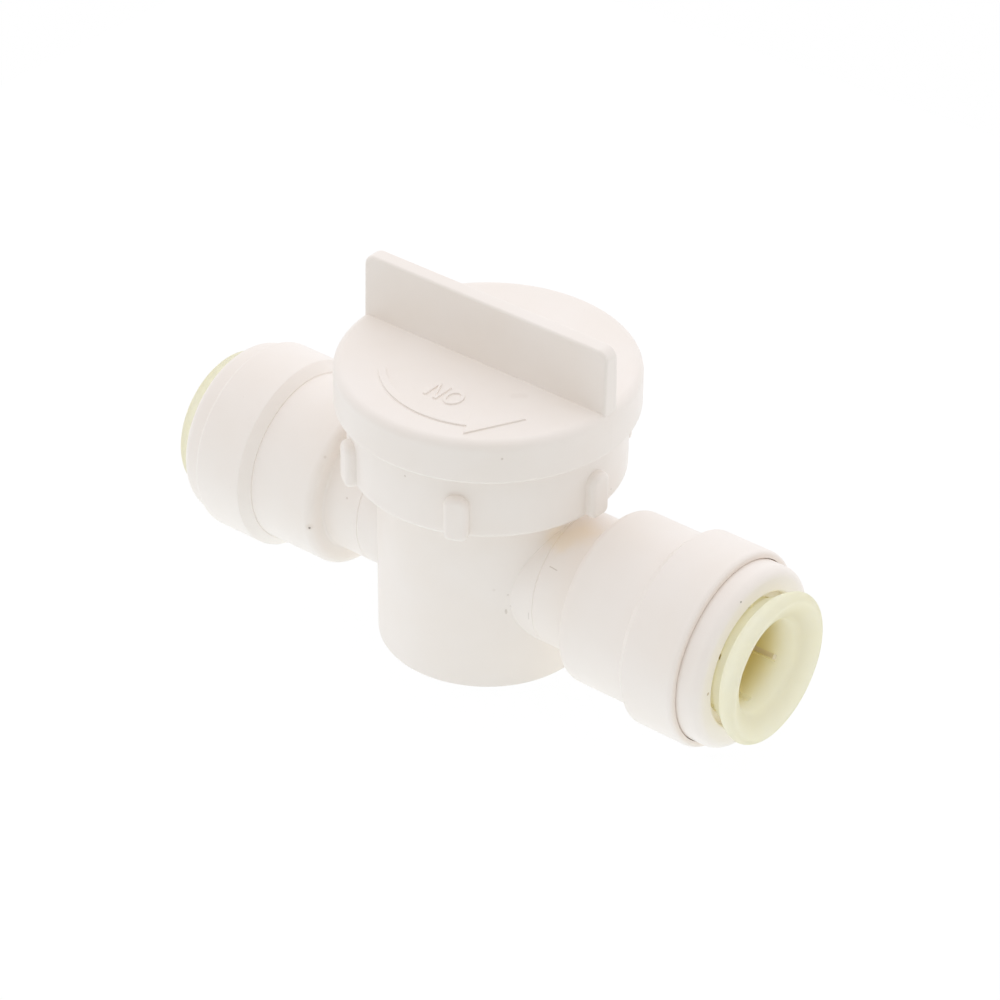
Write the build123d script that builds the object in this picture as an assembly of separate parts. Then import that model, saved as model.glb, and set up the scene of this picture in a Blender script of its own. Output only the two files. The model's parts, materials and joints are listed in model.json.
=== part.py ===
from build123d import *
from math import sqrt
import os

# In-line quarter-turn valve with a push-fit socket at each end, for tube of 5/8 in outside diameter.
# Millimetres. The origin is the middle of the flat bottom, X runs along the flow and Z up the stem.

# Tube and water way
tube_radius = 7.94  # the tube that pushes into each end
tube_clearance = 0.11  # radial play of the tube in its socket and collet
passage_radius = 6.3  # water way through the necks and the plug

# Plug, its seals and its drive
bore_radius = 14.0  # the body's bore, in which the plug turns
plug_clearance = 0.1
plug_edge = 0.6
plug_end_gap = 0.4  # under the plug, above the body's floor
port_seal_margin = 0.6  # from the edge of the water way to the port seal
port_seal_width = 1.5
port_seal_depth = 2.2
seal_rub = 0.02  # running gap between the plug's seals and the bore
plug_seal_depth = 2.4  # radial thickness of the squeezed O-rings
plug_seal_width = 2.9
plug_seal_play = 0.1  # room beside each O-ring in its groove
seal_rounding = 0.4  # corner round of an O-ring, for each mm of its thinner side
seal_land = 0.9  # between a port seal and the O-ring grooves
bottom_land = 1.9  # under the lower groove
top_land = 4.1  # from the upper groove to the flange's seat
flange_lip = 3.0  # how far the flange stands out past the bore
flange_thickness = 3.0
flange_clearance = 0.1
washer_thickness = 1.0
washer_clearance = 0.2
drive_side = 11.0  # square that carries the knob
drive_fit = 0.05
drive_end_gap = 0.8
stem_ledge = 2.4  # ledge round the square's corners, which the knob's hub stands on

# Quarter-turn stop: a lug on the flange in a way cut in the body's rim
quarter_turn = 90.0
lug_height = 1.2
lug_angle = 16.0
lug_clearance = 0.2
stop_play = 0.4  # degrees past each end of the turn

# Valve body
body_wall = 4.2
body_edge = 0.5
cap_lift = 0.7  # the end caps clear the surface that the bottom stands on
head_wall = 2.5  # threaded head, outside the flange
head_rise = 0.5  # the head starts this far above the nut's lower edge
neck_wall = 3.62
neck_length = 7.6
shoulder_round = 1.5
shoulder_root = 0.5
witness_offset = 0.3  # witness line on each neck, from the body's side
witness_width = 0.25
witness_depth = 0.15

# Bonnet nut
nut_wall = 3.35
nut_skirt = 4.95  # from the lower edge to the underside of the lip
nut_bottom_round = 1.0
nut_top_round = 0.4
nut_rim_wall = 2.0
nut_rim_height = 3.85
lip_thickness = 2.5
lip_gap = 0.4  # round the stem
rib_count = 6
rib_turn = -3.7  # degrees, as the nut happens to be screwed on
rib_width = 4.05
rib_proud = 1.6
rib_height = 8.0
rib_corner = 1.7
rib_foot = 1.2  # corner round at the lower end
rib_edge = 0.9

# Knob
knob_gap = 0.3  # above the nut
knob_overhang = 2.05  # past the nut's side
knob_height = 7.75
knob_wall = 2.2
knob_plate = 2.5
knob_top_round = 1.6
knob_bottom_round = 0.8
hub_gap = 0.5  # hub above the nut's lip
hub_wall = 3.0
fin_inset = 0.4  # the fin's ends inside the knob's edge
fin_height = 11.1
fin_base = 3.5  # thickness where the fin meets the plate
fin_tip = 2.9
fin_root = 2.0  # how deep the fin is rooted in the plate
fin_corner = 2.0
fin_edge = 0.5

# Push-fit end, from the stem outwards
stop_offset = 1.2  # tube stop, past the barrel's shoulder
socket_depth = 6.0
tube_seal_nip = 0.35  # the O-ring's hole is this much smaller than the tube, on the radius
tube_seal_depth = 2.8
tube_seal_width = 3.0
tube_seal_play = 0.4
spacer_thickness = 2.0
spacer_clearance = 0.1
barrel_wall = 2.53

# Cartridge, held in the barrel by a snap bead
skirt_length = 8.6
skirt_wall = 1.3
bead_height = 0.5
bead_place = 5.0  # from the spacer
ramp_rise = 1.2  # ramp that closes the collet's fingers
ramp_length = 2.5
ring_length = 7.05
ring_round = 1.6
ring_mouth_depth = 2.0
ring_mouth_step = 1.6
ring_mouth_round = 0.4

# End cap
cap_wall = 1.87
cap_grip = 8.2  # length over the barrel
cap_front = 3.05  # past the barrel's end
cap_lip = 0.25
cap_chamfer = 1.5
cap_rim = 1.15
cap_round = 0.8
ring_gap = 0.15  # round the cartridge's ring

# Collet
release_travel = 1.4
release_gap = 0.75  # flange to ring at rest: the flange's conical back goes into the ring's mouth
rear_gap = 0.3  # inner end to spacer, pushed in
finger_wall = 1.75
finger_clearance = 0.2
barb_clearance = 0.2
barb_gap = 0.1  # barbs to ramp along the flow, pulled out
barb_land = 1.2
barb_nose = 0.8
nose_drop = 1.6
neck_swell = 0.8  # the collet is thicker behind its flange
flange_cone_rise = 1.5  # conical back of the flange
flange_cone_depth = 1.0
flange_swell = 1.4  # growth from the cone to the flange's widest place
flange_depth = 2.2  # cone to the widest place
collet_front = 0.9  # widest place to the front
collet_lip = 1.5  # drop from the widest place to the front face
funnel_depth = 2.0
flange_cone_round = 0.6
flange_wide_round = 1.3
flange_front_round = 0.7
funnel_round = 1.4
slot_count = 6
slot_width = 1.2
slot_length = 13.5

# Grip ring
grip_depth = 0.7  # groove in the collet
grip_thickness = 0.4
grip_width = 2.0
grip_place = 0.9  # from the collet's inner end
tooth_bite = 0.25  # inside the tube's surface
tooth_angle = 16.0
tooth_rake = 0.9
tooth_thickness = 0.35
grip_split = 10.0  # degrees

# Radii across the flow
tube_bore = tube_radius + tube_clearance
neck_radius = tube_bore + neck_wall
finger_radius = tube_bore + finger_wall
guide_bore = finger_radius + finger_clearance
ramp_bore = guide_bore + ramp_rise
skirt_radius = ramp_bore + skirt_wall
barrel_radius = skirt_radius + barrel_wall
cap_radius = barrel_radius + cap_wall
cap_mouth = cap_radius - cap_rim
ring_radius = cap_mouth - ring_gap
ring_mouth = guide_bore + ring_mouth_step
tube_seal_inner = tube_radius - tube_seal_nip
gland_radius = tube_seal_inner + tube_seal_depth
barb_radius = ramp_bore - barb_clearance
collet_neck = finger_radius + neck_swell
flange_cone_radius = collet_neck + flange_cone_rise
flange_wide_radius = flange_cone_radius + flange_swell
flange_face_radius = flange_wide_radius - collet_lip
grip_radius = tube_bore + grip_depth

# Radii round the stem
plug_radius = bore_radius - plug_clearance
seal_face = bore_radius - seal_rub
groove_radius = seal_face - plug_seal_depth
port_seal_inner = passage_radius + port_seal_margin
port_seal_outer = port_seal_inner + port_seal_width
port_seal_floor = seal_face - port_seal_depth
body_radius = bore_radius + body_wall
flange_radius = bore_radius + flange_lip
recess_radius = flange_radius + flange_clearance
lug_radius = flange_radius + lug_height
thread_radius = recess_radius + head_wall
nut_radius = thread_radius + nut_wall
nut_rim_radius = nut_radius - nut_rim_wall
knob_radius = nut_radius + knob_overhang
drive_corner = drive_side / sqrt(2)
stem_radius = drive_corner + stem_ledge
lip_radius = stem_radius + lip_gap
hub_radius = drive_corner + hub_wall

# Heights
flow_height = cap_radius + cap_lift
groove_half = plug_seal_width / 2 + plug_seal_play
plug_seal_offset = port_seal_outer + seal_land + groove_half
plug_bottom = flow_height - plug_seal_offset - groove_half - bottom_land
floor_top = plug_bottom - plug_end_gap
plug_seat = flow_height + plug_seal_offset + groove_half + top_land
flange_top = plug_seat + flange_thickness
rim_top = flange_top + washer_thickness
lip_top = rim_top + lip_thickness
stem_top = lip_top + hub_gap
nut_bottom = rim_top - nut_skirt
nut_top = lip_top + nut_rim_height
head_bottom = nut_bottom + head_rise
knob_bottom = nut_top + knob_gap
knob_top = knob_bottom + knob_height
plate_bottom = knob_top - knob_plate
drive_top = plate_bottom - drive_end_gap

# Distances from the stem along the flow
shoulder = body_radius + neck_length
tube_stop = shoulder + stop_offset
gland_start = tube_stop + socket_depth
spacer_seat = gland_start + tube_seal_width + tube_seal_play
spacer_front = spacer_seat + spacer_thickness
barrel_end = spacer_front + skirt_length
ring_front = barrel_end + ring_length
mouth_floor = ring_front - ring_mouth_depth
ramp_slope = ramp_rise / ramp_length
collet_rear = spacer_front + release_travel + rear_gap
barb_top = collet_rear + barb_nose + barb_land
ramp_front = barb_top + (barb_radius - guide_bore) / ramp_slope + barb_gap
ramp_rear = ramp_front - ramp_length
barb_root = barb_top + (barb_radius - finger_radius) / ramp_slope
collet_neck_start = mouth_floor + release_travel + finger_clearance
flange_back = ring_front + release_gap
flange_cone = flange_back + flange_cone_depth
flange_wide = flange_cone + flange_depth
collet_end = flange_wide + collet_front
funnel_end = collet_end - funnel_depth
grip_rear = collet_rear + grip_place
grip_front = grip_rear + grip_width


def turned(outline, rounds):
    """Turns a closed outline of (radius, height) corners about Z. rounds gives radii by corner number."""
    face = make_face(Polyline(*outline, close=True)).face()
    for corner, radius in rounds.items():
        nearest = face.vertices().sort_by_distance(Vertex(*outline[corner]))[0]
        face = face.fillet_2d(radius, [nearest])
    return revolve(Plane.XZ * face, Axis.Z)


def sector(radius, middle, spread, bottom, top):
    """A pie slice about Z, spread degrees wide."""
    start = middle - spread / 2
    arc = CenterArc((0, 0), radius, start, spread)
    face = make_face([Line((0, 0), arc @ 0), arc, Line(arc @ 1, (0, 0))])
    return Pos(0, 0, bottom) * extrude(face, top - bottom)


def at_port(side):
    """The place of a port's pieces, whose own Z points out along the flow."""
    return Pos(0, 0, flow_height) * Rot(0, 0, 180 if side == "left" else 0) * Rot(0, 90, 0)


def snap_bead():
    """Corners of the bead that holds a cartridge, the same in the skirt and in the barrel."""
    middle = spacer_front + bead_place
    return [
        (skirt_radius, middle - bead_height),
        (skirt_radius + bead_height, middle),
        (skirt_radius, middle + bead_height),
    ]


def valve_body():
    upright = turned(
        [
            (0, 0),
            (body_radius, 0),
            (body_radius, head_bottom),
            (thread_radius, head_bottom),
            (thread_radius, rim_top),
            (0, rim_top),
        ],
        {1: body_edge},
    )
    witness = body_radius + witness_offset
    barrel = turned(
        [
            (0, 0),
            (neck_radius, 0),
            (neck_radius, witness - witness_width / 2),
            (neck_radius - witness_depth, witness),
            (neck_radius, witness + witness_width / 2),
            (neck_radius, shoulder),
            (barrel_radius, shoulder),
            (barrel_radius, barrel_end),
            (0, barrel_end),
        ],
        {5: shoulder_root, 6: shoulder_round},
    )
    plug_bore = turned(
        [
            (0, floor_top),
            (bore_radius, floor_top),
            (bore_radius, plug_seat),
            (recess_radius, plug_seat),
            (recess_radius, rim_top),
            (0, rim_top),
        ],
        {},
    )
    socket = turned(
        [
            (0, 0),
            (passage_radius, 0),
            (passage_radius, tube_stop),
            (tube_bore, tube_stop),
            (tube_bore, gland_start),
            (gland_radius, gland_start),
            (gland_radius, spacer_seat),
            (skirt_radius, spacer_seat),
            *snap_bead(),
            (skirt_radius, barrel_end),
            (0, barrel_end),
        ],
        {},
    )
    stop_spread = quarter_turn + lug_angle + 2 * stop_play
    stop_way = sector(lug_radius + lug_clearance, 0, stop_spread, plug_seat, rim_top)
    body = upright
    for side in ("left", "right"):
        body += at_port(side) * barrel
    body -= plug_bore
    for side in ("left", "right"):
        body -= at_port(side) * socket
    return body - stop_way


def port_seal(side):
    """Saddle seal round a blank side of the plug, cut from a ring that follows the bore."""
    toward = 90 if side == "front" else -90
    tube = Cylinder(port_seal_outer, bore_radius, align=(Align.CENTER, Align.CENTER, Align.MIN))
    tube -= Cylinder(port_seal_inner, bore_radius, align=(Align.CENTER, Align.CENTER, Align.MIN))
    tube = Pos(0, 0, flow_height) * Rot(toward, 0, 0) * tube
    shell = Cylinder(seal_face, rim_top, align=(Align.CENTER, Align.CENTER, Align.MIN))
    shell -= Cylinder(port_seal_floor, rim_top, align=(Align.CENTER, Align.CENTER, Align.MIN))
    return tube & shell


def seal_ring(inner, depth, middle, width):
    """O-ring about Z, flattened where it is squeezed."""
    low = middle - width / 2
    high = middle + width / 2
    corners = [(inner, low), (inner + depth, low), (inner + depth, high), (inner, high)]
    corner_round = seal_rounding * min(depth, width)
    return turned(corners, {corner: corner_round for corner in range(4)})


def plug():
    lower = flow_height - plug_seal_offset
    upper = flow_height + plug_seal_offset
    solid = turned(
        [
            (0, plug_bottom),
            (plug_radius, plug_bottom),
            (plug_radius, lower - groove_half),
            (groove_radius, lower - groove_half),
            (groove_radius, lower + groove_half),
            (plug_radius, lower + groove_half),
            (plug_radius, upper - groove_half),
            (groove_radius, upper - groove_half),
            (groove_radius, upper + groove_half),
            (plug_radius, upper + groove_half),
            (plug_radius, plug_seat),
            (flange_radius, plug_seat),
            (flange_radius, flange_top),
            (stem_radius, flange_top),
            (stem_radius, stem_top),
            (0, stem_top),
        ],
        {1: plug_edge},
    )
    solid += sector(lug_radius, quarter_turn / 2, lug_angle, plug_seat, flange_top)
    drive = Box(drive_side, drive_side, drive_top - stem_top, align=(Align.CENTER, Align.CENTER, Align.MIN))
    solid += Pos(0, 0, stem_top) * drive
    solid -= Pos(0, 0, flow_height) * Rot(0, 90, 0) * Cylinder(passage_radius, 2 * bore_radius)
    return solid - port_seal("front") - port_seal("back")


def thrust_washer():
    inner = stem_radius + washer_clearance
    outer = recess_radius - washer_clearance
    return turned([(inner, flange_top), (outer, flange_top), (outer, rim_top), (inner, rim_top)], {})


def nut_rib():
    """One upright grip rib with rounded ends, at X before it is turned to its place."""
    front = Rectangle(rib_width, rib_height, align=(Align.CENTER, Align.MIN))
    front = fillet(front.vertices().group_by(Axis.Y)[-1], rib_corner)
    front = fillet(front.vertices().group_by(Axis.Y)[0], rib_foot)
    rib = Pos(0, 0, nut_bottom) * (Plane.YZ * extrude(front, nut_radius + rib_proud))
    outer = rib.faces().sort_by(Axis.X)[-1]
    rib = fillet(outer.edges(), rib_edge)
    return rib - Cylinder(thread_radius + nut_wall / 2, 2 * nut_top)


def bonnet_nut():
    nut = turned(
        [
            (thread_radius, nut_bottom),
            (nut_radius, nut_bottom),
            (nut_radius, nut_top),
            (nut_rim_radius, nut_top),
            (nut_rim_radius, lip_top),
            (lip_radius, lip_top),
            (lip_radius, rim_top),
            (thread_radius, rim_top),
        ],
        {1: nut_bottom_round, 2: nut_top_round},
    )
    rib = nut_rib()
    for number in range(rib_count):
        nut += Rot(0, 0, rib_turn + number * 360 / rib_count) * rib
    return nut


def knob():
    cover = turned(
        [
            (0, knob_top),
            (knob_radius, knob_top),
            (knob_radius, knob_bottom),
            (knob_radius - knob_wall, knob_bottom),
            (knob_radius - knob_wall, plate_bottom),
            (hub_radius, plate_bottom),
            (hub_radius, stem_top),
            (0, stem_top),
        ],
        {1: knob_top_round, 2: knob_bottom_round},
    )
    hole_side = drive_side + 2 * drive_fit
    hole = Box(hole_side, hole_side, plate_bottom - stem_top, align=(Align.CENTER, Align.CENTER, Align.MIN))
    cover -= Pos(0, 0, stem_top) * hole
    fin_length = 2 * (knob_radius - fin_inset)
    section = Polyline(
        (-fin_base / 2, 0),
        (fin_base / 2, 0),
        (fin_tip / 2, fin_height + fin_root),
        (-fin_tip / 2, fin_height + fin_root),
        close=True,
    )
    fin = extrude(Plane.YZ * make_face(section), fin_length / 2, both=True)
    fin = fillet(fin.edges().group_by(Axis.Z)[-1].filter_by(Axis.Y), fin_corner)
    rim = fin.edges() - fin.edges().group_by(Axis.Z)[0] - fin.edges().filter_by(Axis.Y)
    fin = fillet(rim, fin_edge)
    return cover + Pos(0, 0, knob_top - fin_root) * fin


def end_cap():
    rear = barrel_end - cap_grip
    front = barrel_end + cap_front
    return turned(
        [
            (barrel_radius, rear),
            (barrel_radius + cap_lip, rear),
            (cap_radius, rear + cap_chamfer),
            (cap_radius, front),
            (cap_mouth, front),
            (cap_mouth, barrel_end),
            (barrel_radius, barrel_end),
        ],
        {2: cap_lip, 3: cap_round},
    )


def cartridge():
    return turned(
        [
            (ramp_bore, spacer_front),
            (skirt_radius, spacer_front),
            *snap_bead(),
            (skirt_radius, barrel_end),
            (ring_radius, barrel_end),
            (ring_radius, ring_front),
            (ring_mouth, ring_front),
            (ring_mouth, mouth_floor),
            (guide_bore, mouth_floor),
            (guide_bore, ramp_front),
            (ramp_bore, ramp_rear),
        ],
        {7: ring_round, 8: ring_mouth_round},
    )


def collet():
    solid = turned(
        [
            (tube_bore, collet_rear),
            (barb_radius - nose_drop, collet_rear),
            (barb_radius, collet_rear + barb_nose),
            (barb_radius, barb_top),
            (finger_radius, barb_root),
            (finger_radius, collet_neck_start),
            (collet_neck, collet_neck_start),
            (collet_neck, flange_back),
            (flange_cone_radius, flange_cone),
            (flange_wide_radius, flange_wide),
            (flange_face_radius, collet_end),
            (tube_bore, funnel_end),
            (tube_bore, grip_front),
            (grip_radius, grip_front),
            (grip_radius, grip_rear),
            (tube_bore, grip_rear),
        ],
        {8: flange_cone_round, 9: flange_wide_round, 10: flange_front_round, 11: funnel_round},
    )
    slot = Box(2 * barb_radius, slot_width, slot_length, align=(Align.MIN, Align.CENTER, Align.MIN))
    for number in range(slot_count):
        solid -= Rot(0, 0, number * 360 / slot_count) * Pos(0, 0, collet_rear) * slot
    return solid


def grip_ring():
    """Split steel ring in the collet's fingers, with one tooth raked inwards on each finger."""
    inner = grip_radius - grip_thickness
    tip = tube_radius - tooth_bite
    root = grip_front - tooth_thickness
    band = [(inner, grip_rear), (grip_radius, grip_rear), (grip_radius, grip_front), (inner, grip_front)]
    blade = [(grip_radius, root), (grip_radius, root + tooth_thickness)]
    blade += [(tip, root + tooth_thickness - tooth_rake), (tip, root - tooth_rake)]
    slice_top = grip_front + tooth_thickness
    ring = turned(band, {})
    teeth = turned(blade, {})
    for number in range(slot_count):
        middle = (number + 0.5) * 360 / slot_count
        ring += teeth & sector(grip_radius, middle, tooth_angle, collet_rear, slice_top)
    return ring - sector(2 * grip_radius, 0, grip_split, collet_rear, slice_top)


def spacer():
    outer = skirt_radius - spacer_clearance
    return turned(
        [(tube_bore, spacer_seat), (outer, spacer_seat), (outer, spacer_front), (tube_bore, spacer_front)],
        {},
    )


def tube_o_ring():
    return seal_ring(tube_seal_inner, tube_seal_depth, gland_start + tube_seal_width / 2, tube_seal_width)


def plug_o_ring(offset):
    return seal_ring(groove_radius, plug_seal_depth, flow_height + offset, plug_seal_width)


pieces = {
    "valve_body": valve_body(),
    "bonnet_nut": bonnet_nut(),
    "knob": knob(),
    "plug": plug(),
    "port_seal_front": port_seal("front"),
    "port_seal_back": port_seal("back"),
    "upper_o_ring": plug_o_ring(plug_seal_offset),
    "lower_o_ring": plug_o_ring(-plug_seal_offset),
    "thrust_washer": thrust_washer(),
}
port_pieces = {
    "end_cap": end_cap(),
    "cartridge": cartridge(),
    "collet": collet(),
    "grip_ring": grip_ring(),
    "spacer": spacer(),
    "tube_o_ring": tube_o_ring(),
}
collet_pieces = ("collet", "grip_ring")
for side in ("left", "right"):
    for name, piece in port_pieces.items():
        pushed_in = release_travel if side == "left" and name in collet_pieces else 0
        pieces[f"{side}_{name}"] = at_port(side) * Pos(0, 0, -pushed_in) * piece

os.makedirs("parts", exist_ok=True)
for name, piece in pieces.items():
    export_step(piece, f"parts/{name}.step")
    print(name, "volume", round(piece.volume, 1))
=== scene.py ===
import json
import math

import bmesh
import bpy
from mathutils import Matrix, Vector


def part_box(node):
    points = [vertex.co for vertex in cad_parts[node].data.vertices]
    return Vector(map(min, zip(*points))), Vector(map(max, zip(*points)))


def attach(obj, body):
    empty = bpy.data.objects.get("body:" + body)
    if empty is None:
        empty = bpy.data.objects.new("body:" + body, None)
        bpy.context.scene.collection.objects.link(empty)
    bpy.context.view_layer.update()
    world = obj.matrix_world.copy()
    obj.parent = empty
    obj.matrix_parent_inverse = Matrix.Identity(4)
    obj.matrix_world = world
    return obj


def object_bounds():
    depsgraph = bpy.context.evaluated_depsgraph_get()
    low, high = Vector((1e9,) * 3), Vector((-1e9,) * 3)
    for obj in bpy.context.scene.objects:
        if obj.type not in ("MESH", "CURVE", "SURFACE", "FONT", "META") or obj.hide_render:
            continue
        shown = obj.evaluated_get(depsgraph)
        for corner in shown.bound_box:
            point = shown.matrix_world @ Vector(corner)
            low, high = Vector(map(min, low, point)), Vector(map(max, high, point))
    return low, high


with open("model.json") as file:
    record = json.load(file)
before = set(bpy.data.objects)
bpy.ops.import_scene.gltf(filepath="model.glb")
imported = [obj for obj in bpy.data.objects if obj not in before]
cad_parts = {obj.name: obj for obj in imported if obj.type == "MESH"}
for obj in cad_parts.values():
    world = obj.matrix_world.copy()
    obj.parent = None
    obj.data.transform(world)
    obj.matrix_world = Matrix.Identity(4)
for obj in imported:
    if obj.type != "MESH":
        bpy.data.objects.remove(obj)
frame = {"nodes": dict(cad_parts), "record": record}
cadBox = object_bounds()
nodes = frame["nodes"]
mm = 0.001  # lengths in the dictionaries below are in millimetres
flowHeight = sum(corner.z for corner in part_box("left_end_cap")) / 2  # the line through both ports
print("frame:", len(nodes), "pieces")


class Wire:
    # a shader socket that does sums: wire * 2 + other adds the Math nodes
    def __init__(self, tree, socket=None):
        self.tree = tree
        self.socket = socket

    def node(self, kind, settings=None, sockets=None, out=0):
        made = self.tree.nodes.new(kind)
        for name, value in (settings or {}).items():
            setattr(made, name, value)
        for name, value in (sockets or {}).items():
            self.feed(made.inputs[name], value)
        return Wire(self.tree, made.outputs[out] if made.outputs else None)

    def feed(self, target, value):
        if isinstance(value, Wire):
            self.tree.links.new(value.socket, target)
        else:
            target.default_value = value

    def maths(self, operation, first, second=0.0):
        return self.node("ShaderNodeMath", {"operation": operation}, {0: first, 1: second})

    def clamp(self):
        return self.node("ShaderNodeClamp", {}, {"Value": self})

    def swing(self):
        # a noise, counted from its middle
        return self - 0.5

    def step(self, limits):
        # 0 below the first limit, 1 above the second, smooth between
        sockets = {"Value": self, "From Min": limits[0], "From Max": limits[1]}
        return self.node("ShaderNodeMapRange", {"interpolation_type": "SMOOTHSTEP"}, sockets)

    def edge(self, limits):
        # a step between two sizes in millimetres
        return self.step((limits[0] * mm, limits[1] * mm))

    def __add__(self, other):
        return self.maths("ADD", self, other)

    def __radd__(self, other):
        return self.maths("ADD", other, self)

    def __sub__(self, other):
        return self.maths("SUBTRACT", self, other)

    def __rsub__(self, other):
        return self.maths("SUBTRACT", other, self)

    def __mul__(self, other):
        return self.maths("MULTIPLY", self, other)

    def __rmul__(self, other):
        return self.maths("MULTIPLY", other, self)

    def __truediv__(self, other):
        return self.maths("DIVIDE", self, other)

    def __rtruediv__(self, other):
        return self.maths("DIVIDE", other, self)

    def __pow__(self, other):
        return self.maths("POWER", self, other)

    def __rpow__(self, other):
        return self.maths("POWER", other, self)


def rgba(colour):
    return (*colour, 1.0)


def mixColour(sheet, factor, first, second):
    # a Mix node keeps its colours on sockets 6 and 7, and their result on output 2
    sockets = {0: factor, 6: first, 7: second}
    return sheet.node("ShaderNodeMix", {"data_type": "RGBA"}, sockets, out=2)


def vectorMath(sheet, operation, first, second=(0.0, 0.0, 0.0), out="Vector"):
    return sheet.node("ShaderNodeVectorMath", {"operation": operation}, {0: first, 1: second}, out=out)


def scaled(sheet, vector, factor):
    return sheet.node("ShaderNodeVectorMath", {"operation": "SCALE"}, {0: vector, "Scale": factor})


def lengthOf(sheet, vector):
    return vectorMath(sheet, "LENGTH", vector, out="Value")


def noise(sheet, place, grain, detail=2.0, rough=0.5):
    # grain is the size of the pattern in millimetres
    sockets = {"Vector": place, "Scale": 1.0 / (grain * mm), "Detail": detail, "Roughness": rough}
    return sheet.node("ShaderNodeTexNoise", {}, sockets)


def bump(sheet, height):
    return sheet.node("ShaderNodeBump", {}, {"Height": height, "Strength": 1.0, "Distance": 1.0})


def alongFlow(sheet, place):
    # distance from the stem, towards either port
    return sheet.maths("ABSOLUTE", sheet.node("ShaderNodeSeparateXYZ", {}, {"Vector": place}, out="X"))


def fromFlow(sheet, place):
    # distance from the line down the middle of both ports
    offset = vectorMath(sheet, "SUBTRACT", place, (0.0, 0.0, flowHeight))
    return lengthOf(sheet, vectorMath(sheet, "MULTIPLY", offset, (0.0, 1.0, 1.0)))


def newMaterial(name):
    material = bpy.data.materials.new(name)
    material.use_nodes = True
    material.node_tree.nodes.clear()
    return material, Wire(material.node_tree)


def surface(sheet, values, letThrough=0.0):
    shader = sheet.node("ShaderNodeBsdfPrincipled", {}, values)
    if letThrough > 0:
        thin = sheet.node("ShaderNodeBsdfTranslucent", {}, {"Color": values["Base Color"]})
        shader = sheet.node("ShaderNodeMixShader", {}, {0: letThrough, 1: shader, 2: thin})
    sheet.node("ShaderNodeOutputMaterial", {}, {"Surface": shader})


# What all moulded plastic here has: a slow drift between two tones, and a fine grain
moulded = {
    "driftDetail": 3.0,
    "driftTurn": (0.3, 0.7),  # noise levels where one tone turns into the other
    "grainDetail": 3.0,
    "grainMix": 0.6,
}


def slowDrift(sheet, place, look):
    return noise(sheet, place, look["drift"], moulded["driftDetail"]).step(moulded["driftTurn"])


def twoTones(sheet, share, look):
    return mixColour(sheet, share, rgba(look["colour"]), rgba(look["shade"]))


def fineGrain(sheet, place, look):
    return noise(sheet, place, look["grain"], moulded["grainDetail"], moulded["grainMix"])


# Satin white moulded plastic: body, nut, knob, caps and cartridges
whitePlastic = {
    "colour": (0.94, 0.9, 0.862),
    "shade": (0.928, 0.88, 0.832),
    "drift": 14.0,  # how far apart the paler and warmer patches are
    "roughness": 0.38,
    "grain": 0.16,
    "grainDepth": 0.004,
    "grainRough": 0.1,  # how far the grain sways the roughness
    "flow": 5.0,  # slow waves left by the moulding
    "flowDetail": 1.0,
    "flowDepth": 0.012,
    "flowRough": 0.12,
    "ior": 1.5,
    "dust": (0.42, 0.34, 0.26),
    "dustSpread": 3.2,  # size of the cells, a few of which hold a grain of dust
    "dustSize": (0.012, 0.03),  # core and rim of a grain, as shares of a cell
    "dustRare": (0.84, 0.86),  # a cell that draws less than this holds none
    "dustStrength": 0.28,
}

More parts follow.
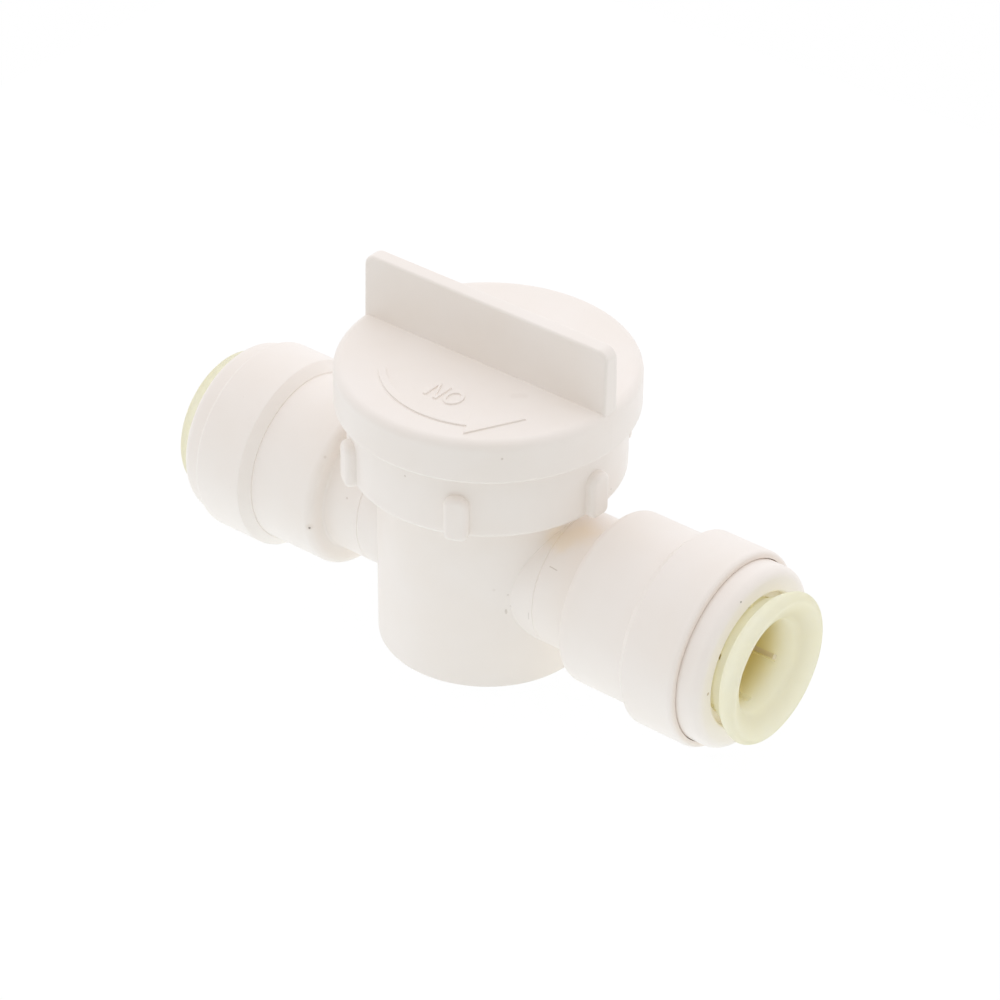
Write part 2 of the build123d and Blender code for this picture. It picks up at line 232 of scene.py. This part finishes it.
# Dirt and scratches, and on the body a patch of painted shade under the nut, each on the piece that carries
# it
specksAndPaintedShade = {
    "valve_body": [
        {"at": (-26.4, -14.5, 16.0), "radius": 0.75, "strength": 0.14, "colour": (0.5, 0.36, 0.22)},
        {"at": (-26.33, -14.56, 15.79), "radius": 0.26, "strength": 0.72, "colour": (0.1, 0.06, 0.03)},
        {"at": (13.78, -11.88, 18.66), "radius": 0.22, "strength": 0.2, "colour": (0.3, 0.24, 0.18)},
        {"at": (14.11, -11.61, 16.46), "radius": 0.2, "strength": 0.22, "colour": (0.3, 0.24, 0.18)},
        {"at": (13.58, -12.1, 15.7), "to": (13.6, -12.08, 15.1), "radius": 0.22, "strength": 0.26,
         "colour": (0.3, 0.22, 0.14)},
        {"at": (12.18, -13.52, 19.85), "radius": 0.3, "strength": 0.1, "colour": (0.4, 0.32, 0.24)},
        {"at": (19.82, -8.77, 25.28), "to": (21.3, -8.84, 25.2), "radius": 0.1, "strength": 0.34,
         "colour": (0.3, 0.22, 0.14)},
        {"at": (17.82, -11.63, 16.78), "to": (17.75, -11.47, 15.45), "radius": 0.12, "strength": 0.22,
         "colour": (0.3, 0.26, 0.2)},
        {"at": (-21.19, -10.78, 22.06), "radius": 0.24, "strength": 0.3, "colour": (0.4, 0.3, 0.22)},
        {"at": (-26.24, -10.33, 27.89), "radius": 0.3, "strength": 0.2, "colour": (0.4, 0.3, 0.22)},
        {"at": (19.2, -4.9, 28.2), "to": (21.5, -2.0, 29.1), "radius": 3.6, "strength": 0.28,
         "colour": (0.98, 0.79, 0.47), "core": 0.0, "grain": 3.0},  # painted shade: the warm shade under the nut, on the right neck
    ],
    "right_cartridge": [
        {"at": (53.95, -4.57, 31.42), "radius": 0.22, "strength": 0.6, "colour": (0.2, 0.16, 0.12)},
        {"at": (54.05, -12.6, 18.3), "radius": 0.32, "strength": 0.55, "colour": (0.36, 0.22, 0.08)},
    ],
    "bonnet_nut": [
        {"at": (1.52, -22.9, 42.39), "radius": 0.22, "strength": 0.3, "colour": (0.36, 0.28, 0.2)},
        {"at": (24.25, -3.44, 38.79), "radius": 0.2, "strength": 0.35, "colour": (0.36, 0.28, 0.2)},
        {"at": (22.71, 3.25, 35.19), "radius": 0.2, "strength": 0.35, "colour": (0.36, 0.28, 0.2)},
    ],
    "knob": [
        {"at": (17.18, -18.15, 49.71), "radius": 0.22, "strength": 0.3, "colour": (0.36, 0.28, 0.2)},
        {"at": (10.1, -6.17, 52.5), "to": (11.3, -5.2, 52.5), "radius": 0.8, "strength": 0.06,
         "colour": (0.4, 0.32, 0.26)},
    ],
}

# The edge of a speck, scratch or patch of painted shade whose own row doesn't say otherwise
speckEdge = {
    "grain": 0.35,  # size of the wobble along it
    "core": 0.5,  # share of the radius at full strength
    "rim": 1.15,  # share of the radius where it ends
}


def spotMask(sheet, place, spot):
    # 1 inside a speck, or inside a scratch or a patch of painted shade that runs from one end to the other,
    # 0 a little way outside
    edge = {**speckEdge, **spot}
    radius = spot["radius"] * mm
    start = Vector(spot["at"]) * mm
    run = Vector(spot.get("to", spot["at"])) * mm - start
    offset = vectorMath(sheet, "SUBTRACT", place, tuple(start))
    if run.length > 0:
        along = vectorMath(sheet, "DOT_PRODUCT", offset, tuple(run), out="Value") / run.length_squared
        offset = vectorMath(sheet, "SUBTRACT", offset, scaled(sheet, tuple(run), along.clamp()))
    wobble = noise(sheet, place, edge["grain"]).swing() * radius
    distance = lengthOf(sheet, offset) + wobble
    return 1 - distance.step((radius * edge["core"], radius * edge["rim"]))


# Painted shade: a warm darker band in the seam between each cap and the ring that stands out of it
capSeamShade = {
    "along": 50.0,  # along the flow from the stem
    "out": 16.05,  # out from the flow
    "spread": (0.1, 0.85),
    "strength": 0.22,
    "colour": (0.75, 0.58, 0.42),
    "pieces": ("end_cap", "cartridge"),
}


def seamShadeMask(sheet, place):
    # painted shade, darkest on the circle where cap and ring meet
    along = alongFlow(sheet, place) - capSeamShade["along"] * mm
    out = fromFlow(sheet, place) - capSeamShade["out"] * mm
    distance = (along * along + out * out) ** 0.5
    return (1 - distance.edge(capSeamShade["spread"])) * capSeamShade["strength"]


def dustMask(sheet, place, look):
    # a few grains, far apart
    sockets = {"Vector": place, "Scale": 1.0 / (look["dustSpread"] * mm)}
    distance = sheet.node("ShaderNodeTexVoronoi", {}, sockets, out="Distance")
    picked = sheet.node("ShaderNodeTexVoronoi", {}, sockets, out="Color")
    drawn = sheet.node("ShaderNodeSeparateColor", {}, {"Color": picked})
    return (1 - distance.step(look["dustSize"])) * drawn.step(look["dustRare"]) * look["dustStrength"]


def makeWhite(name, spots, seam=False):
    look = whitePlastic
    material, sheet = newMaterial(name)
    place = sheet.node("ShaderNodeTexCoord", out="Object")
    colour = twoTones(sheet, slowDrift(sheet, place, look), look)
    colour = mixColour(sheet, dustMask(sheet, place, look), colour, rgba(look["dust"]))
    # painted shade in the seam round each cap
    if seam:
        colour = mixColour(sheet, seamShadeMask(sheet, place), colour, rgba(capSeamShade["colour"]))
    # specks and scratches of dirt, and on the body a patch of painted shade under the nut
    for spot in spots:
        mask = spotMask(sheet, place, spot) * spot["strength"]
        colour = mixColour(sheet, mask, colour, rgba(spot["colour"]))
    grain = fineGrain(sheet, place, look)
    flow = noise(sheet, place, look["flow"], look["flowDetail"])
    height = grain * (look["grainDepth"] * mm) + flow * (look["flowDepth"] * mm)
    rough = look["roughness"] + flow.swing() * look["flowRough"] + grain.swing() * look["grainRough"]
    surface(sheet, {
        "Base Color": colour,
        "Roughness": rough,
        "Normal": bump(sheet, height),
        "IOR": look["ior"],
    })
    return material


# Translucent pale yellow collets, with painted shade on the sleeve inside the cartridge
colletPlastic = {
    "colour": (1.0, 0.996, 0.915),
    "shade": (1.0, 0.992, 0.885),
    "deep": (0.98, 0.93, 0.63),  # painted shade: a deeper yellow on the sleeve, where the cartridge shuts it in
    "deepEdge": (48.0, 55.0),  # where the painted shade turns into the collet's own tones, along the flow
    "drift": 6.0,
    "driftRough": 0.1,  # how far the drift sways the roughness
    "roughness": 0.34,
    "grain": 0.2,
    "grainDepth": 0.003,
    "ior": 1.48,
    "letThrough": 0.8,  # share of the light that passes the wall
}


def makeCollet():
    look = colletPlastic
    material, sheet = newMaterial("paleCollet")
    place = sheet.node("ShaderNodeTexCoord", out="Object")
    drift = slowDrift(sheet, place, look)
    # 0 on the sleeve, which gets the painted shade, 1 on the flange outside the cartridge
    outer = alongFlow(sheet, place).edge(look["deepEdge"])
    grain = fineGrain(sheet, place, look)
    surface(sheet, {
        "Base Color": mixColour(sheet, outer, rgba(look["deep"]), twoTones(sheet, drift, look)),
        "Roughness": look["roughness"] + drift.swing() * look["driftRough"],
        "Normal": bump(sheet, grain * (look["grainDepth"] * mm)),
        "IOR": look["ior"],
    }, look["letThrough"])
    return material


# Pieces inside: natural plastic, black rubber with a grey bloom, and spring steel
insidePlastic = {"colour": (0.78, 0.76, 0.71), "shade": (0.7, 0.67, 0.61), "grain": 0.4, "roughness": 0.4}
sealRubber = {"colour": (0.018, 0.018, 0.02), "shade": (0.05, 0.05, 0.052), "grain": 0.5, "roughness": 0.55}
gripSteel = {"colour": (0.62, 0.61, 0.59), "shade": (0.5, 0.47, 0.43), "grain": 0.08, "roughness": 0.28}
inside = {
    "detail": 4.0,
    "mix": 0.6,
    "turn": (0.35, 0.7),  # noise levels where one tone turns into the other
    "depth": 0.01,
    "rough": 0.2,  # how far the grain sways the roughness
}


def makeInside(name, look, metallic=0.0):
    material, sheet = newMaterial(name)
    place = sheet.node("ShaderNodeTexCoord", out="Object")
    grain = noise(sheet, place, look["grain"], inside["detail"], inside["mix"])
    surface(sheet, {
        "Base Color": twoTones(sheet, grain.step(inside["turn"]), look),
        "Roughness": look["roughness"] + grain.swing() * inside["rough"],
        "Normal": bump(sheet, grain * (inside["depth"] * mm)),
        "Metallic": metallic,
    })
    return material


slotMaterial = {
    "collet_plastic": makeCollet(),
    "inner_plastic": makeInside("innerPlastic", insidePlastic),
    "seal_rubber": makeInside("sealRubber", sealRubber),
    "grip_steel": makeInside("gripSteel", gripSteel, metallic=1.0),
}
plainWhite = makeWhite("satinWhite", [])
# the white for caps and cartridges, with painted shade at their seam
seamShadeWhite = makeWhite("satinWhite_seam", [], seam=True)
for part in frame["record"]["subparts"]:
    node = part["node"]
    slotName = part["material_slot"]
    bySeam = node.endswith(capSeamShade["pieces"])
    if slotName in slotMaterial:
        chosen = slotMaterial[slotName]
    elif node in specksAndPaintedShade:
        chosen = makeWhite("satinWhite_" + node, specksAndPaintedShade[node], bySeam)
    else:
        chosen = seamShadeWhite if bySeam else plainWhite
    nodes[node].data.materials.clear()
    nodes[node].data.materials.append(chosen)
print("materials:", len(bpy.data.materials))

# Raised marks on the knob: a curved arrow and the word ON, read from the far side
knobMarks = {
    "rise": 0.3,
    "sink": 0.15,  # below the knob's top, so that nothing shows under the edge
    "edge": 0.07,
    "edgeSteps": 3,
    "edgeShape": 0.5,  # an even round
    "edgeAngle": 0.5,  # edges that turn by more radians than this are rounded
    "finClear": 6.0,  # the fin ends nearer the middle line than this
    "arcCentre": (1.75, -1.67),
    "arcRadius": 17.35,
    "arcWidth": 1.3,
    "arcStart": -139.0,
    "arcEnd": -63.5,
    "headWidth": 5.8,
    "headTip": (15.85, -10.5),
    "arcSteps": 48,
    "letterHeight": 4.0,
    "letterStroke": 0.55,
    "letterMiddle": -12.75,
    "nLeft": -1.5,
    "nWidth": 2.65,
    "nSlope": 1.25,  # the sloping stroke's width along the line, in strokes
    "oMiddle": 3.2,
    "oWidth": 3.15,
    "oSteps": 64,
}


def knobTop(marks):
    # the highest vertices away from the fin lie on the top of the disc
    return max(v.co.z for v in nodes["knob"].data.vertices if abs(v.co.y) > marks["finClear"] * mm)


def onArc(marks, degrees, radius):
    angle = math.radians(degrees)
    x, y = marks["arcCentre"]
    return (x + radius * math.cos(angle), y + radius * math.sin(angle))


def arrowOutline(marks):
    radius = marks["arcRadius"]
    half = marks["arcWidth"] / 2
    halfHead = marks["headWidth"] / 2
    sweep = marks["arcEnd"] - marks["arcStart"]
    steps = marks["arcSteps"]
    spread = [marks["arcStart"] + sweep * i / steps for i in range(steps + 1)]
    outer = [onArc(marks, a, radius + half) for a in spread]
    barbs = [onArc(marks, marks["arcEnd"], radius + reach) for reach in (halfHead, -halfHead)]
    inner = [onArc(marks, a, radius - half) for a in reversed(spread)]
    return [outer + [barbs[0], marks["headTip"], barbs[1]] + inner]


def letterN(marks):
    left = marks["nLeft"]
    right = left + marks["nWidth"]
    low = marks["letterMiddle"] - marks["letterHeight"] / 2
    high = marks["letterMiddle"] + marks["letterHeight"] / 2
    stroke = marks["letterStroke"]
    slant = stroke * marks["nSlope"]
    return [[
        (left, low), (left + stroke, low), (left + stroke, high - slant),
        (right - slant, low), (right, low), (right, high),
        (right - stroke, high), (right - stroke, low + slant),
        (left + slant, high), (left, high),
    ]]


def letterO(marks):
    x = marks["oMiddle"]
    y = marks["letterMiddle"]
    turn = [2 * math.pi * i / marks["oSteps"] for i in range(marks["oSteps"])]
    loops = []
    for inset in (0.0, marks["letterStroke"]):
        wide = marks["oWidth"] / 2 - inset
        tall = marks["letterHeight"] / 2 - inset
        loops.append([(x + wide * math.cos(t), y + tall * math.sin(t)) for t in turn])
    return loops


def raisedMark(name, loops, marks, top):
    # fills the outline, lifts it and rounds its upper edge
    shape = bmesh.new()
    edges = []
    for loop in loops:
        corners = [shape.verts.new((x * mm, y * mm, top - marks["sink"] * mm)) for x, y in loop]
        edges += [shape.edges.new((a, b)) for a, b in zip(corners, corners[1:] + corners[:1])]
    bmesh.ops.triangle_fill(shape, use_beauty=True, use_dissolve=True, edges=edges)
    bmesh.ops.recalc_face_normals(shape, faces=shape.faces)
    lifted = bmesh.ops.extrude_face_region(shape, geom=list(shape.faces), use_keep_orig=True)
    high = [v for v in lifted["geom"] if isinstance(v, bmesh.types.BMVert)]
    bmesh.ops.translate(shape, verts=high, vec=(0, 0, (marks["rise"] + marks["sink"]) * mm))
    bmesh.ops.recalc_face_normals(shape, faces=shape.faces)
    highSet = set(high)
    rim = [e for e in shape.edges
           if highSet.issuperset(e.verts) and e.calc_face_angle(0.0) > marks["edgeAngle"]]
    bmesh.ops.bevel(shape, geom=rim, offset=marks["edge"] * mm, segments=marks["edgeSteps"],
                    profile=marks["edgeShape"], affect="EDGES")
    mesh = bpy.data.meshes.new(name)
    shape.to_mesh(mesh)
    shape.free()
    mark = bpy.data.objects.new(name, mesh)
    bpy.context.scene.collection.objects.link(mark)
    mark.data.materials.append(plainWhite)
    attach(mark, "turning")


topOfKnob = knobTop(knobMarks)
raisedMark("mark_arrow", arrowOutline(knobMarks), knobMarks, topOfKnob)
raisedMark("mark_letter_n", letterN(knobMarks), knobMarks, topOfKnob)
raisedMark("mark_letter_o", letterO(knobMarks), knobMarks, topOfKnob)
print("marks on the knob at", round(topOfKnob / mm, 2), "mm")

# Camera, as the valve was photographed
camera = {
    "lens": 130.92,
    "sensor": 36.0,
    "nearest": 10.0,  # nothing nearer than this is drawn
    "azimuth": 38.05,
    "elevation": 34.26,
    "roll": 0.54,
    "distance": 602.95,
    "aimRight": 2.09,  # from the crossing of the flow and the stem
    "aimUp": 6.17,
}


def addCamera():
    flow = Vector((0, 0, flowHeight))
    a = math.radians(camera["azimuth"])
    e = math.radians(camera["elevation"])
    r = math.radians(camera["roll"])
    back = Vector((math.sin(a) * math.cos(e), -math.cos(a) * math.cos(e), math.sin(e)))
    right = Vector((math.cos(a), math.sin(a), 0))
    up = back.cross(right)
    offset = back * camera["distance"] + right * camera["aimRight"] + up * camera["aimUp"]
    across = right * math.cos(r) + up * math.sin(r)
    upright = up * math.cos(r) - right * math.sin(r)
    data = bpy.data.cameras.new("camera")
    data.lens = camera["lens"]
    data.sensor_width = camera["sensor"]
    data.clip_start = camera["nearest"] * mm
    eye = bpy.data.objects.new("camera", data)
    turn = Matrix((across, upright, back)).transposed().to_4x4()
    eye.matrix_world = Matrix.Translation(flow + offset * mm) @ turn
    bpy.context.scene.collection.objects.link(eye)
    bpy.context.scene.camera = eye


addCamera()
print("camera set")

# White light table and a tent of soft lights round it
studio = {
    "white": (1.0, 1.0, 1.0),  # what the camera sees behind the valve
    "floorSize": 400.0,
    "floorDrop": 0.05,  # just below the valve, so that the two share no face
    "floorColour": (0.9, 0.9, 0.9),
    "floorWhite": 0.93,  # share of plain white that the camera sees on the floor
    "glowColour": (0.84, 1.0, 1.07),
    "floorGlow": 0.305,  # light that comes up through the table
    "bounces": 24,  # pale walls pass light on many times
    "skyColour": (1.06, 1.0, 0.885),
    "sky": 0.421,  # light from all round
    "lampColour": (1.0, 1.0, 1.09),
    "lights": [
        {"toward": (0.0, 0.0, 1.0), "strength": 0.523, "focus": 2.0},
        {"toward": (0.0, 0.0, 1.0), "strength": 0.272, "focus": 8.0},
        {"toward": (-0.79, -0.62, 0.25), "strength": 0.269, "focus": 3.0},
        {"toward": (0.79, 0.62, 0.0), "strength": 0.176, "focus": 8.0},
        {"toward": (-0.62, 0.79, 0.35), "strength": 0.17, "focus": 3.0},
        {"toward": (-1.0, 0.12, 0.4), "strength": 0.263, "focus": 3.0},
        {"toward": (0.12, 1.0, 0.4), "strength": 0.376, "focus": 3.0},
        {"toward": (-0.79, -0.62, 0.0), "strength": 0.116, "focus": 8.0},
        {"toward": (0.79, 0.62, 0.25), "strength": 0.251, "focus": 3.0},
    ],
}


def seenShare(sheet):
    # 1 for what the camera sees, straight, in a reflection or through a piece
    rays = [sheet.node("ShaderNodeLightPath", out=name)
            for name in ("Is Camera Ray", "Is Glossy Ray", "Is Transmission Ray")]
    return (rays[0] + rays[1] + rays[2]).clamp()


def addFloor():
    shape = bmesh.new()
    bmesh.ops.create_grid(shape, x_segments=1, y_segments=1, size=studio["floorSize"] * mm / 2)
    mesh = bpy.data.meshes.new("floor")
    shape.to_mesh(mesh)
    shape.free()
    floor = bpy.data.objects.new("floor", mesh)
    floor.location.z = cadBox[0].z - studio["floorDrop"] * mm
    bpy.context.scene.collection.objects.link(floor)
    material, sheet = newMaterial("paleFloor")
    matte = sheet.node("ShaderNodeBsdfDiffuse", {}, {"Color": rgba(studio["floorColour"])})
    glowSockets = {"Color": rgba(studio["glowColour"]), "Strength": studio["floorGlow"]}
    glow = sheet.node("ShaderNodeEmission", {}, glowSockets)
    lit = sheet.node("ShaderNodeAddShader", {}, {0: matte, 1: glow})
    plain = sheet.node("ShaderNodeEmission", {}, {"Color": rgba(studio["white"]), "Strength": 1.0})
    share = seenShare(sheet) * studio["floorWhite"]
    shader = sheet.node("ShaderNodeMixShader", {}, {0: share, 1: lit, 2: plain})
    sheet.node("ShaderNodeOutputMaterial", {}, {"Surface": shader})
    floor.data.materials.append(material)


def addTent():
    world = bpy.data.worlds.new("tent")
    bpy.context.scene.world = world
    world.use_nodes = True
    world.node_tree.nodes.clear()
    sheet = Wire(world.node_tree)
    direction = sheet.node("ShaderNodeTexCoord", out="Generated")
    level = 0.0
    for lamp in studio["lights"]:
        toward = tuple(Vector(lamp["toward"]).normalized())
        facing = vectorMath(sheet, "DOT_PRODUCT", direction, toward, out="Value")
        level = level + facing.clamp() ** lamp["focus"] * lamp["strength"]
    room = tuple(Vector(studio["skyColour"]) * studio["sky"])
    lamps = scaled(sheet, studio["lampColour"], level)
    light = sheet.node("ShaderNodeBackground", {}, {"Color": vectorMath(sheet, "ADD", lamps, room)})
    plain = sheet.node("ShaderNodeBackground", {}, {"Color": rgba(studio["white"]), "Strength": 1.0})
    shader = sheet.node("ShaderNodeMixShader", {}, {0: seenShare(sheet), 1: light, 2: plain})
    sheet.node("ShaderNodeOutputWorld", {}, {"Surface": shader})


addFloor()
addTent()
bpy.context.scene.view_settings.view_transform = "Standard"
bpy.context.scene.cycles.max_bounces = studio["bounces"]
bpy.context.scene.cycles.diffuse_bounces = studio["bounces"]
bpy.context.scene.cycles.transmission_bounces = studio["bounces"]
print("floor and light set")
